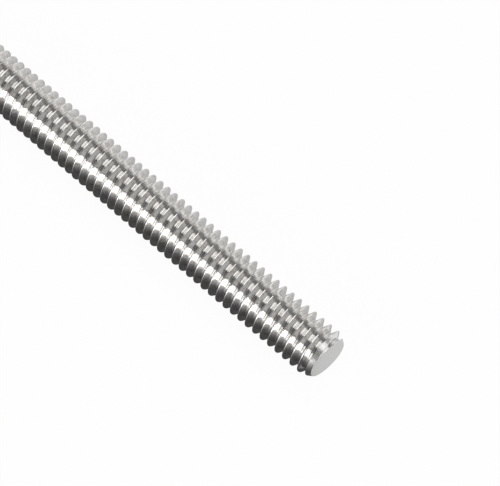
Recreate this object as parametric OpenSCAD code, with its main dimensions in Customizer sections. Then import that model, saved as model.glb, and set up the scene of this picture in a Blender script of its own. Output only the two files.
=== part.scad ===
// Fully threaded rod of stainless steel, M4 coarse, lying along X on the ground.
// One bar: a round blank, bevelled at both ends, with one helical groove run from end to end.
// The ridge that the groove leaves standing is the thread.

/* [Rod] */
// Length over the two end faces
rod_length = 40; // [20:0.5:50]
// Diameter over the crests of the thread
crest_d = 3.97; // [3.4:0.01:4.6]

/* [Thread] */
// Distance along the rod from one crest to the next
pitch = 0.7; // [0.5:0.05:1]
// Angle between the two flanks of the groove
thread_angle = 60; // [50:1:65]
// Width of the flat left on top of the crest
crest_flat = 0.06; // [0.05:0.0025:0.1]
// Width of the flat at the bottom of the groove
root_flat = 0.09; // [0.06:0.0025:0.18]
// Direction in which the groove runs out at the +X end, from the +Y side round over the top
run_out_angle = 173; // [0:1:359]

/* [Ends] */
// Drop from the crests to the rim of the end face
bevel_drop = 0.395; // [0.1:0.005:0.6]
// Length of each bevel along the rod
bevel_length = 0.6; // [0.1:0.05:1.5]

/* [Facets] */
// Straight steps in one turn of the groove
turn_steps = 24; // [20:2:36]

/* [Hidden] */

bright_steel = [0.76, 0.76, 0.75];

crest_r = crest_d / 2;
end_x = rod_length / 2;
flank_slope = tan(thread_angle / 2);
groove_depth = (pitch - crest_flat - root_flat) / (2 * flank_slope);

// A step is straight where the real groove is curved, so its middle lies nearer the axis than
// its ends. The ends are set out this much further, and the steps straddle the true surface.
straddle = 2 / (1 + cos(180 / turn_steps));
// The cutter stands proud of the blank even at the middle of a step.
mouth_r = (crest_r + crest_flat / 4) / cos(180 / turn_steps);
root_r = (crest_r - groove_depth) * straddle;
mouth_w = root_flat + 2 * flank_slope * (mouth_r - root_r);

// The cutter's section, as [along the rod, out from the axis]
groove_section = [
    [-root_flat / 2, root_r],
    [root_flat / 2, root_r],
    [mouth_w / 2, mouth_r],
    [-mouth_w / 2, mouth_r]
];

// Half the blank's outline, as [out from the axis, along the rod]
blank_outline = [
    [0, -end_x],
    [crest_r - bevel_drop, -end_x],
    [crest_r, bevel_length - end_x],
    [crest_r, end_x - bevel_length],
    [crest_r - bevel_drop, end_x],
    [0, end_x]
];

// The groove starts and stops a full pitch outside the blank, so that it cuts both ends open.
groove_start = -end_x - pitch;
groove_steps = ceil((rod_length + 2 * pitch) / pitch * turn_steps);

function along(step) = groove_start + step * pitch / turn_steps;

// Right-hand thread: the direction turns from +Y to +Z as the groove moves towards +X.
function direction(step) = run_out_angle + 360 * (along(step) - end_x) / pitch;

function section_points(step) = [
    for (corner = groove_section)
        [
            along(step) + corner.x,
            corner.y * cos(direction(step)),
            corner.y * sin(direction(step))
        ]
];

module groove() {
    corners = len(groove_section);
    points = [for (step = [0:groove_steps]) each section_points(step)];
    walls = [
        for (step = [0:groove_steps - 1], corner = [0:corners - 1])
            let (
                here = corners * step + corner,
                beside = corners * step + (corner + 1) % corners
            )
            [here, here + corners, beside + corners, beside]
    ];
    first_cap = [for (corner = [0:corners - 1]) corner];
    last_cap = [for (corner = [corners - 1:-1:0]) corners * groove_steps + corner];
    polyhedron(points, concat([first_cap], walls, [last_cap]));
}

// The blank's seam starts on the +Y side, as the groove's directions do. It is turned to run
// down the middles of the groove's steps, clear of the edges between them.
module blank() {
    rotate([direction(0.5), 0, 0])
        rotate([90, 0, 90])
            rotate_extrude($fn = turn_steps)
                polygon(blank_outline);
}

module threaded_rod() {
    color(bright_steel)
        translate([0, 0, crest_r])
            difference() {
                blank();
                groove();
            }
}

threaded_rod();
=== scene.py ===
from math import cos, radians, sin, tan, tau

import bpy
from mathutils import Matrix, Vector


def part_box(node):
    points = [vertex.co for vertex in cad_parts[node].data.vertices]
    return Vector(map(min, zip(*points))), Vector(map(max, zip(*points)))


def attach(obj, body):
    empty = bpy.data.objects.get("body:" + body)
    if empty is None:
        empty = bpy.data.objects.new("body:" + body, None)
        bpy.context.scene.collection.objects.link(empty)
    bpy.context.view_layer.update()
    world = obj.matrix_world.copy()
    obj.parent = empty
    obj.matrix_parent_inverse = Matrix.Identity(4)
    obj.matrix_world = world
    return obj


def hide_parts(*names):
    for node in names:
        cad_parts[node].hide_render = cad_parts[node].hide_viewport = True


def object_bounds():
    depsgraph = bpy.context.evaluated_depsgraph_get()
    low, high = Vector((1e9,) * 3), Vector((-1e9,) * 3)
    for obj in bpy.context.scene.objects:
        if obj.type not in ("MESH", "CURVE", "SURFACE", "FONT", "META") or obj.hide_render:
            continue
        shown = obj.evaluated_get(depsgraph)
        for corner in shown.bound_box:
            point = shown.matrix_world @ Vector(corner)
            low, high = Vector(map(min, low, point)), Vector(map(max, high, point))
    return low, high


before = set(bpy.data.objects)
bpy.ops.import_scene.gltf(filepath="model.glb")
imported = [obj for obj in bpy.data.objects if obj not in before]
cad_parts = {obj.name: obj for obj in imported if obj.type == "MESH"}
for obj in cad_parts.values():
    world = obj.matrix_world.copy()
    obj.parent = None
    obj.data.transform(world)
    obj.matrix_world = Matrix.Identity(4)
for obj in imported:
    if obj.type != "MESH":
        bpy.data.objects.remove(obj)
cad_low, cad_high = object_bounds()


# --- Threaded rod ---------------------------------------------------------------------------
# One bar of stainless steel. Two dies roll the thread into it from end to end, which leaves
# rounded crests and roots and fine marks along the groove. Both ends are sawn and bevelled.

MM = 0.001


class Value:
    """What a node's socket gives. Arithmetic on it adds Math nodes to its tree."""

    def __init__(self, nodes, socket):
        self.nodes = nodes
        self.socket = socket

    def math(self, operation, *others):
        """The result of an operation on this value and then the others."""
        return self.nodes.value("ShaderNodeMath", {"operation": operation}, [self, *others])

    def math_after(self, operation, other):
        """The result of an operation on the other and then this value."""
        return self.nodes.value("ShaderNodeMath", {"operation": operation}, [other, self])

    def __add__(self, other):
        return self.math("ADD", other)

    def __radd__(self, other):
        return self.math("ADD", other)

    def __sub__(self, other):
        return self.math("SUBTRACT", other)

    def __rsub__(self, other):
        return self.math_after("SUBTRACT", other)

    def __mul__(self, other):
        return self.math("MULTIPLY", other)

    def __rmul__(self, other):
        return self.math("MULTIPLY", other)

    def __truediv__(self, other):
        return self.math("DIVIDE", other)

    def __rtruediv__(self, other):
        return self.math_after("DIVIDE", other)

    def __neg__(self):
        return self.math("MULTIPLY", -1)

    def __lt__(self, other):
        return self.math("LESS_THAN", other)

    def __gt__(self, other):
        return self.math("GREATER_THAN", other)


class Nodes:
    """Adds nodes to a tree. A node has a type, settings that come first, and what its sockets
    hold: a number, a colour, a link, or a list of links for a socket that takes several."""

    def __init__(self, tree):
        self.tree = tree

    def node(self, kind, settings=None, sockets=None):
        made = self.tree.nodes.new(kind)
        for name, setting in (settings or {}).items():
            if name == "stops":
                self.set_stops(made.color_ramp.elements, setting)
            elif name == "items":
                self.add_items(made.index_switch_items, setting)
            else:
                setattr(made, name, setting)
        if isinstance(sockets, list):
            sockets = dict(enumerate(sockets))
        for name, held in (sockets or {}).items():
            for each in held if isinstance(held, list) else [held]:
                self.feed(made.inputs[name], each)
        return made

    def feed(self, socket, held):
        if held is None:
            return
        if isinstance(held, Value):
            self.tree.links.new(held.socket, socket)
        elif isinstance(held, bpy.types.NodeSocket):
            self.tree.links.new(held, socket)
        else:
            socket.default_value = held

    def set_stops(self, elements, stops):
        for _ in range(len(stops) - len(elements)):
            elements.new(1)
        for element, (place, shade) in zip(elements, stops):
            element.position = place
            element.color = (shade, shade, shade, 1)

    def add_items(self, items, count):
        for _ in range(count - len(items)):
            items.new()

    def value(self, kind, settings=None, sockets=None, output=0):
        return Value(self, self.node(kind, settings, sockets).outputs[output])

    def vector(self, x, y, z):
        return self.value("ShaderNodeCombineXYZ", None, [x, y, z])

    def parts(self, vector):
        split = self.node("ShaderNodeSeparateXYZ", None, [vector])
        return [Value(self, output) for output in split.outputs]


# The sizes of an M4 coarse thread, and of the bevels and the cut at its ends. They are the CAD
# source's, apart from the roundings, the near end's lean, and what concerns the mesh alone.
low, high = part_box("threaded_rod")
rod_sizes = {
    "Length": high.x - low.x,
    "Crest Radius": (high.z - low.z) / 2,
    "Axis Height": (high.z + low.z) / 2,
    "Pitch": 0.7 * MM,
    "Flank Angle": radians(30),
    "Crest Flat": 0.06 * MM,
    "Root Flat": 0.09 * MM,
    "Crest Rounding": 0.03 * MM,
    "Root Rounding": 0.07 * MM,
    "Run Out Angle": radians(173),
    "Bevel Drop": 0.395 * MM,
    "Bevel Length": 0.6 * MM,
    "Cut Lean": radians(6.5),
    "Cut Side": radians(-47),
    "Weld Distance": 0.001 * MM,
    "Sharp Edge": radians(26),
    "Turn Steps": 60,
    "Rounding Steps": 3,
}

thread_tree = bpy.data.node_groups.new("rolled_thread", "GeometryNodeTree")
identifiers = {}
for name, size in rod_sizes.items():
    kind = "NodeSocketInt" if isinstance(size, int) else "NodeSocketFloat"
    socket = thread_tree.interface.new_socket(name=name, in_out="INPUT", socket_type=kind)
    identifiers[name] = socket.identifier
thread_tree.interface.new_socket(
    name="Geometry", in_out="OUTPUT", socket_type="NodeSocketGeometry"
)
thread_nodes = Nodes(thread_tree)
inputs = thread_nodes.node("NodeGroupInput").outputs
sizes = {name: Value(thread_nodes, inputs[name]) for name in rod_sizes}


def point_by_point(kind, values):
    """Gives each point of a line its own one of these values."""
    index = thread_nodes.value("GeometryNodeInputIndex")
    settings = {"data_type": kind, "items": len(values)}
    return thread_nodes.value("GeometryNodeIndexSwitch", settings, [index, *values])


def outline(corners):
    """A line through corners, given as (along the rod, out from the axis, rounding)."""
    places = [thread_nodes.vector(along, out, 0) for along, out, _ in corners]
    roundings = [rounding for _, _, rounding in corners]
    place = point_by_point("VECTOR", places)
    radius = point_by_point("FLOAT", roundings)
    line = thread_nodes.value("GeometryNodeMeshLine", None, {"Count": len(corners)})
    bent = thread_nodes.value(
        "GeometryNodeSetPosition", None, {"Geometry": line, "Position": place}
    )
    curve = thread_nodes.value("GeometryNodeMeshToCurve", None, [bent])
    return thread_nodes.value(
        "GeometryNodeFilletCurve",
        {"mode": "POLY"},
        {
            "Curve": curve,
            "Count": sizes["Rounding Steps"],
            "Radius": radius,
            "Limit Radius": True,
        },
    )


def welded(mesh):
    """Joins the points that lie on one another."""
    return thread_nodes.value(
        "GeometryNodeMergeByDistance",
        None,
        {"Geometry": mesh, "Distance": sizes["Weld Distance"]},
    )


def swept(section, steps, rise, first_x, first_angle):
    """The surface that a section leaves as it turns round the rod and rises along it."""
    corners = thread_nodes.value(
        "GeometryNodeAttributeDomainSize", {"component": "CURVE"}, [section]
    )
    rows = steps + 1
    grid = thread_nodes.value(
        "GeometryNodeMeshGrid", None, {"Vertices X": corners, "Vertices Y": rows}
    )
    index = thread_nodes.value("GeometryNodeInputIndex")
    corner = thread_nodes.value(
        "FunctionNodeIntegerMath", {"operation": "DIVIDE_FLOOR"}, [index, rows]
    )
    step = index - corner * rows
    place = thread_nodes.value(
        "GeometryNodeSampleIndex",
        {"data_type": "FLOAT_VECTOR"},
        {
            "Geometry": section,
            "Value": thread_nodes.value("GeometryNodeInputPosition"),
            "Index": corner,
        },
    )
    along, out, _ = thread_nodes.parts(place)
    turns = step / sizes["Turn Steps"]
    angle = first_angle + turns * tau
    position = thread_nodes.vector(
        first_x + along + turns * rise,
        out * angle.math("COSINE"),
        out * angle.math("SINE"),
    )
    surface = thread_nodes.value(
        "GeometryNodeSetPosition", None, {"Geometry": grid, "Position": position}
    )
    return welded(surface)


def drawn_shut(surface, tip_x):
    """Draws the open edges at both ends in to a tip on the axis."""
    faces_beside = thread_nodes.value("GeometryNodeInputMeshEdgeNeighbors")
    drawn = thread_nodes.node(
        "GeometryNodeExtrudeMesh",
        {"mode": "EDGES"},
        {"Mesh": surface, "Selection": faces_beside < 2, "Offset Scale": 0.0},
    )
    x, _, _ = thread_nodes.parts(thread_nodes.value("GeometryNodeInputPosition"))
    gathered = thread_nodes.value(
        "GeometryNodeSetPosition",
        None,
        {
            "Geometry": drawn.outputs["Mesh"],
            "Selection": drawn.outputs["Top"],
            "Position": thread_nodes.vector(x.math("SIGN") * tip_x, 0.0, 0.0),
        },
    )
    return welded(gathered)


pitch = sizes["Pitch"]
end_x = sizes["Length"] / 2
crest_radius = sizes["Crest Radius"]
slope = sizes["Flank Angle"].math("TANGENT")
groove_depth = (pitch - sizes["Crest Flat"] - sizes["Root Flat"]) / 2 / slope
root_radius = crest_radius - groove_depth

# The ridge between two grooves, from the left groove's middle to the right one's. A point close
# to each rounding keeps the flank flat.
root_x = pitch / 2 - sizes["Root Flat"] / 2
crest_x = sizes["Crest Flat"] / 2
low_share = 0.22
high_share = 0.85
half_ridge = [
    (pitch / 2, root_radius, 0.0),
    (root_x, root_radius, sizes["Root Rounding"]),
    (root_x + (crest_x - root_x) * low_share, root_radius + groove_depth * low_share, 0.0),
    (root_x + (crest_x - root_x) * high_share, root_radius + groove_depth * high_share, 0.0),
    (crest_x, crest_radius, sizes["Crest Rounding"]),
]
ridge = outline(
    [(-along, out, rounding) for along, out, rounding in half_ridge]
    + list(reversed(half_ridge))
)

# The groove in the middle of the run-out meets the end plane at the run-out angle.
spare_turns = 2
first_x = -end_x - pitch * spare_turns
first_angle = sizes["Run Out Angle"] - (end_x - first_x + pitch / 2) / pitch * tau
thread_turns = (sizes["Length"] / pitch + 2 * spare_turns).math("CEIL")
thread = drawn_shut(
    swept(ridge, thread_turns * sizes["Turn Steps"], pitch, first_x, first_angle),
    end_x + pitch * (2 * spare_turns),
)

# The bevelled blank. Its barrel stands clear of the crests, so that only the ends cut them.
face_radius = crest_radius - sizes["Bevel Drop"]
clear = 1.5
barrel_radius = face_radius + sizes["Bevel Drop"] * clear
barrel_x = end_x - sizes["Bevel Length"] * clear
blank = swept(
    outline(
        [
            (-end_x, 0.0, 0.0),
            (-end_x, face_radius, 0.0),
            (-barrel_x, barrel_radius, 0.0),
            (barrel_x, barrel_radius, 0.0),
            (end_x, face_radius, 0.0),
            (end_x, 0.0, 0.0),
        ]
    ),
    sizes["Turn Steps"],
    rise=0.0,
    first_x=0.0,
    first_angle=0.0,
)

# The near end was cut a little out of square, so that it reaches further on one side.
x, y, z = thread_nodes.parts(thread_nodes.value("GeometryNodeInputPosition"))
cut_side = sizes["Cut Side"]
further = y * cut_side.math("COSINE") + z * cut_side.math("SINE")
lean = further * sizes["Cut Lean"].math("TANGENT") * (x > 0)
cut_blank = thread_nodes.value(
    "GeometryNodeSetPosition",
    None,
    {"Geometry": blank, "Offset": thread_nodes.vector(lean, 0.0, 0.0)},
)

rod_shape = thread_nodes.value(
    "GeometryNodeMeshBoolean",
    {"operation": "INTERSECT", "solver": "MANIFOLD"},
    {"Mesh 2": [thread, cut_blank]},
)
lifted = thread_nodes.value(
    "GeometryNodeTransform",
    None,
    {"Geometry": rod_shape, "Translation": thread_nodes.vector(0.0, 0.0, sizes["Axis Height"])},
)
smooth = thread_nodes.value(
    "GeometryNodeSetShadeSmooth", {"domain": "FACE"}, {"Geometry": lifted, "Shade Smooth": True}
)
bend = thread_nodes.value("GeometryNodeInputMeshEdgeAngle")
creased = thread_nodes.value(
    "GeometryNodeSetShadeSmooth",
    {"domain": "EDGE"},
    {"Geometry": smooth, "Selection": bend > sizes["Sharp Edge"], "Shade Smooth": False},
)


def emptied(owner):
    """The nodes of a material or of the world, with nothing in them yet."""
    owner.use_nodes = True
    owner.node_tree.nodes.clear()
    return Nodes(owner.node_tree)


# The steel. Its places are in millimetres from the middle of the rod's axis.
steel = bpy.data.materials.new("rolled_stainless_steel")
steel_nodes = emptied(steel)
steel_place = steel_nodes.value("ShaderNodeTexCoord", output="Object")
x, y, z = [length / MM for length in steel_nodes.parts(steel_place)]
up = z - rod_sizes["Axis Height"] / MM
out = (y * y + up * up).math("SQRT")
further = (y * cos(rod_sizes["Cut Side"]) + up * sin(rod_sizes["Cut Side"])) * (x > 0)
cut_x = rod_sizes["Length"] / 2 / MM + further * tan(rod_sizes["Cut Lean"])
from_end = cut_x - x.math("ABSOLUTE")


def noise(scales, detail, roughness=0.5):
    """Noise whose grains are one over these scales long, along the rod and across it."""
    along, across = scales
    grains = steel_nodes.vector(x * along, y * across, up * across)
    return steel_nodes.value(
        "ShaderNodeTexNoise",
        None,
        {"Vector": grains, "Scale": 1.0, "Detail": detail, "Roughness": roughness},
    )


def ramp(value, start, end):
    """0 where the value is at the start, 1 at the end, and smooth between."""
    return value.nodes.value(
        "ShaderNodeMapRange",
        {"interpolation_type": "SMOOTHSTEP"},
        {"Value": value, "From Min": start, "From Max": end},
    )


def between(share, first, second):
    """A number between two, by the share of the second."""
    sockets = [share, None, first, second]
    return share.nodes.value("ShaderNodeMix", {"data_type": "FLOAT"}, sockets)


def tinted(share, first, second):
    """A colour between two, by the share of the second."""
    sockets = {0: share, 6: first, 7: second}
    return steel_nodes.value("ShaderNodeMix", {"data_type": "RGBA"}, sockets, output=2)


# The cut face and the bevel, told by how close a point lies to them, and the groove's bottom,
# where a little shade is painted in.
close = 0.004
bevel_slope = rod_sizes["Bevel Drop"] / rod_sizes["Bevel Length"]
rim = (rod_sizes["Crest Radius"] - rod_sizes["Bevel Drop"]) / MM
on_face = from_end < close
on_bevel = (rim + from_end * bevel_slope - out) < close
on_cut = on_face.math("MAXIMUM", on_bevel)
root_tint_starts = 1.68
root_tint_full = 1.5
in_root = ramp(out, root_tint_starts, root_tint_full)

# Marks that the dies leave round the rod, dents, pits and grain, and stains from handling.
drawn_marks = noise((16, 1.1), 3)
dents = noise((2.6, 3.4), 2)
patches = noise((0.7, 0.9), 2)
grain = noise((22, 22), 2)
pits = noise((6, 7), 2)
stains = ramp(noise((5, 3.2), 4), 0.5, 0.68)

bright_steel = (0.8, 0.79, 0.775, 1)
dull_steel = (0.72, 0.71, 0.695, 1)
painted_root_shade = (0.3, 0.292, 0.284, 1)
stain = (0.42, 0.39, 0.36, 1)
cut_steel = (0.6, 0.598, 0.59, 1)
mottled = tinted(patches, bright_steel, dull_steel)
# A little painted shade darkens the groove's bottom: a dark colour mixed in towards the root.
root_shaded = tinted(in_root * 0.2, mottled, painted_root_shade)
stained = tinted(stains * 0.5, root_shaded, stain)
colour = tinted(on_cut, stained, cut_steel)

rolled_roughness = 0.07 + drawn_marks * 0.06 + in_root * 0.08
bevel_roughness = 0.22 + grain * 0.1
face_roughness = 0.42 + patches * 0.1
cut_roughness = between(on_face, bevel_roughness, face_roughness)
roughness = between(on_cut, rolled_roughness, cut_roughness)

relief_depth = 0.002 * MM
height = drawn_marks * 0.5 + dents * 3.8 + pits * 0.8 + grain * 0.06
relief = steel_nodes.value(
    "ShaderNodeBump", None, {"Strength": 1.0, "Distance": relief_depth, "Height": height}
)
surface = steel_nodes.value(
    "ShaderNodeBsdfPrincipled",
    None,
    {"Base Color": colour, "Metallic": 1.0, "Roughness": roughness, "Normal": relief},
)
steel_nodes.node("ShaderNodeOutputMaterial", None, {"Surface": surface})

whole = thread_nodes.value("GeometryNodeRealizeInstances", None, [creased])
finished = thread_nodes.value(
    "GeometryNodeSetMaterial", None, {"Geometry": whole, "Material": steel}
)
thread_nodes.node("NodeGroupOutput", None, [finished])


def added(name, data):
    """A new object in the scene, with this mesh, lamp or camera."""
    made = bpy.data.objects.new(name, data)
    bpy.context.scene.collection.objects.link(made)
    return made


rod = added("steel_rod", bpy.data.meshes.new("steel_rod"))
winding = rod.modifiers.new("winding", "NODES")
winding.node_group = thread_tree
for name, size in rod_sizes.items():
    winding[identifiers[name]] = size
evaluated = rod.evaluated_get(bpy.context.evaluated_depsgraph_get())
rod.data = bpy.data.meshes.new_from_object(evaluated)
rod.modifiers.clear()

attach(rod, "root")
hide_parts("threaded_rod")


# --- Floor ----------------------------------------------------------------------------------
# A plain white sheet that the rod lies on, and a glowing sheet on it that only the steel
# mirrors:
# its painted shadow is dark under the rod and paler away from it, a painted reflection of the
# rod's shadow on the floor. Neither is part of the object.


def sheet(name, corner, opposite, z):
    """A flat sheet between two opposite corners, at a height."""
    mesh = bpy.data.meshes.new(name)
    mesh.from_pydata(
        [
            (corner[0], corner[1], z),
            (opposite[0], corner[1], z),
            (opposite[0], opposite[1], z),
            (corner[0], opposite[1], z),
        ],
        [],
        [(0, 1, 2, 3)],
    )
    laid = added(name, mesh)
    return laid


floor_reach = 2.0
floor = sheet("floor", (-floor_reach, -floor_reach), (floor_reach, floor_reach), 0.0)
paper = bpy.data.materials.new("white_paper")
paper.cycles.emission_sampling = "NONE"
paper_nodes = emptied(paper)
rays = paper_nodes.node("ShaderNodeLightPath").outputs
seen = Value(paper_nodes, rays["Is Camera Ray"])
for mirrored in ("Is Glossy Ray", "Is Transmission Ray"):
    seen = seen.math("MAXIMUM", Value(paper_nodes, rays[mirrored]))
matt = paper_nodes.value(
    "ShaderNodeBsdfPrincipled", None, {"Base Color": (0.9, 0.9, 0.9, 1), "Roughness": 0.9}
)
plain = paper_nodes.value("ShaderNodeEmission", None, {"Color": (1, 1, 1, 1), "Strength": 1.0})
plain_share = 0.96
white = paper_nodes.value("ShaderNodeMixShader", None, [seen * plain_share, matt, plain])
paper_nodes.node("ShaderNodeOutputMaterial", None, {"Surface": white})
floor.data.materials.append(paper)

# How bright the painted shadow glows, by millimetres across the sheet from under the rod's axis.
painted_shadow_shades = [
    (-30, 0.65),
    (-12, 0.53),
    (-9, 0.4),
    (-4.75, 0.15),
    (-2.5, 0.07),
    (-1, 0.08),
    (1, 0.31),
    (2.75, 0.5),
    (5, 0.72),
    (12, 0.85),
    (50, 0.95),
]
painted_shadow_start = painted_shadow_shades[0][0]
painted_shadow_end = painted_shadow_shades[-1][0]
painted_shadow_width = painted_shadow_end - painted_shadow_start
painted_shadow_overhang = 14
painted_shadow_far_end = -0.3
painted_shadow_height = 0.005 * MM
mat = sheet(
    "mat",
    (painted_shadow_far_end, painted_shadow_start * MM),
    (high.x + painted_shadow_overhang * MM, painted_shadow_end * MM),
    painted_shadow_height,
)
# Only the steel's reflection sees this sheet of painted shadow: the camera, diffuse light and
# shadows pass it by.
mat.visible_camera = False
mat.visible_diffuse = False
mat.visible_transmission = False
mat.visible_shadow = False
shaded = bpy.data.materials.new("painted_shadow_glow")
shaded.cycles.emission_sampling = "NONE"
painted_shadow_nodes = emptied(shaded)
painted_shadow_place = painted_shadow_nodes.value("ShaderNodeTexCoord", output="Object")
along, across, _ = [length / MM for length in painted_shadow_nodes.parts(painted_shadow_place)]
beyond = along - high.x / MM
shade = painted_shadow_nodes.value(
    "ShaderNodeValToRGB",
    {"stops": [((place - painted_shadow_start) / painted_shadow_width, shade) for place, shade in painted_shadow_shades]},
    [(across - painted_shadow_start) / painted_shadow_width],
)

# The painted shadow fades into the white of the floor beyond the rod's near end: at once on the
# far side, and further out on the near side.
floor_white = 0.94
faded_far_side = ramp(beyond, -0.3, 0.6) * ramp(across, -2.6, -0.6)
faded = faded_far_side.math("MAXIMUM", ramp(beyond, 7, painted_shadow_overhang))
level = between(faded, shade, floor_white)
# The sheet glows with its painted shadow, though it is no lamp.
grey = painted_shadow_nodes.value("ShaderNodeEmission", None, {"Color": level, "Strength": 1.0})
painted_shadow_nodes.node("ShaderNodeOutputMaterial", None, {"Surface": grey})
mat.data.materials.append(shaded)


# --- Light and camera -----------------------------------------------------------------------
# A studio whose walls are white low down and dark overhead. Four long softboxes hang along the
# rod and make the bands of light on its steel, and a long lens looks down on its near end.

bpy.context.scene.view_settings.view_transform = "Standard"

# How bright the room is, by height: 0 level with the rod, and 1 overhead.
room_shades = [(0.0, 1.0), (0.12, 1.0), (0.2, 0.48), (0.45, 0.34), (0.85, 0.22), (1.0, 0.1)]
room = bpy.data.worlds.new("studio")
bpy.context.scene.world = room
room_nodes = emptied(room)
_, _, height = room_nodes.parts(room_nodes.value("ShaderNodeTexCoord", output="Generated"))
room_shade = room_nodes.value("ShaderNodeValToRGB", {"stops": room_shades}, [height])
walls = room_nodes.value("ShaderNodeBackground", None, {"Color": room_shade, "Strength": 1.0})
room_nodes.node("ShaderNodeOutputWorld", None, {"Surface": walls})


def softbox(name, lean, span, reach, brightness):
    """A lamp along the rod, from one x to another. It leans over from overhead, towards the near
    side where the lean is positive, and spans an angle seen from the rod, both in degrees. At a
    brightness of 1 it is as bright as white."""
    away = 0.5
    unit_energy = 4
    lamp = bpy.data.lights.new(name, "AREA")
    lamp.shape = "RECTANGLE"
    lamp.size = reach[1] - reach[0]
    lamp.size_y = 2 * away * tan(radians(span / 2))
    lamp.energy = unit_energy * lamp.size * lamp.size_y * brightness
    hung = added(name, lamp)
    hung.rotation_euler = (radians(lean), 0, 0)
    hung.location = hung.rotation_euler.to_matrix() @ Vector((0, 0, away))
    hung.location.x = (reach[0] + reach[1]) / 2
    hung.visible_camera = False


softbox("top_softbox", lean=-11, span=41, reach=(-0.26, 1.0), brightness=1.15)
softbox("end_softbox", lean=2, span=84, reach=(-0.9, -0.38), brightness=0.32)
softbox("far_softbox", lean=-72, span=24, reach=(-0.26, 1.5), brightness=0.42)
softbox("near_softbox", lean=69, span=38, reach=(-0.55, -0.03), brightness=1.8)

# The camera stands in front of the rod and beyond its near end, and looks down on that end.
from_rod_end = 29.255 * MM
in_front = 50.033 * MM
above_axis = 137.54 * MM
to_right = Vector((0.737698, 0.673344, 0.049086))
backwards = Vector((0.256580, -0.346867, 0.902136))
long_lens = bpy.data.cameras.new("camera")
long_lens.lens = 154.98
long_lens.clip_start = 0.01
camera = added("camera", long_lens)
camera.location = (cad_high.x + from_rod_end, -in_front, (high.z + low.z) / 2 + above_axis)
turned = Matrix((to_right, backwards.cross(to_right), backwards)).transposed()
camera.rotation_euler = turned.to_euler()
bpy.context.scene.camera = camera
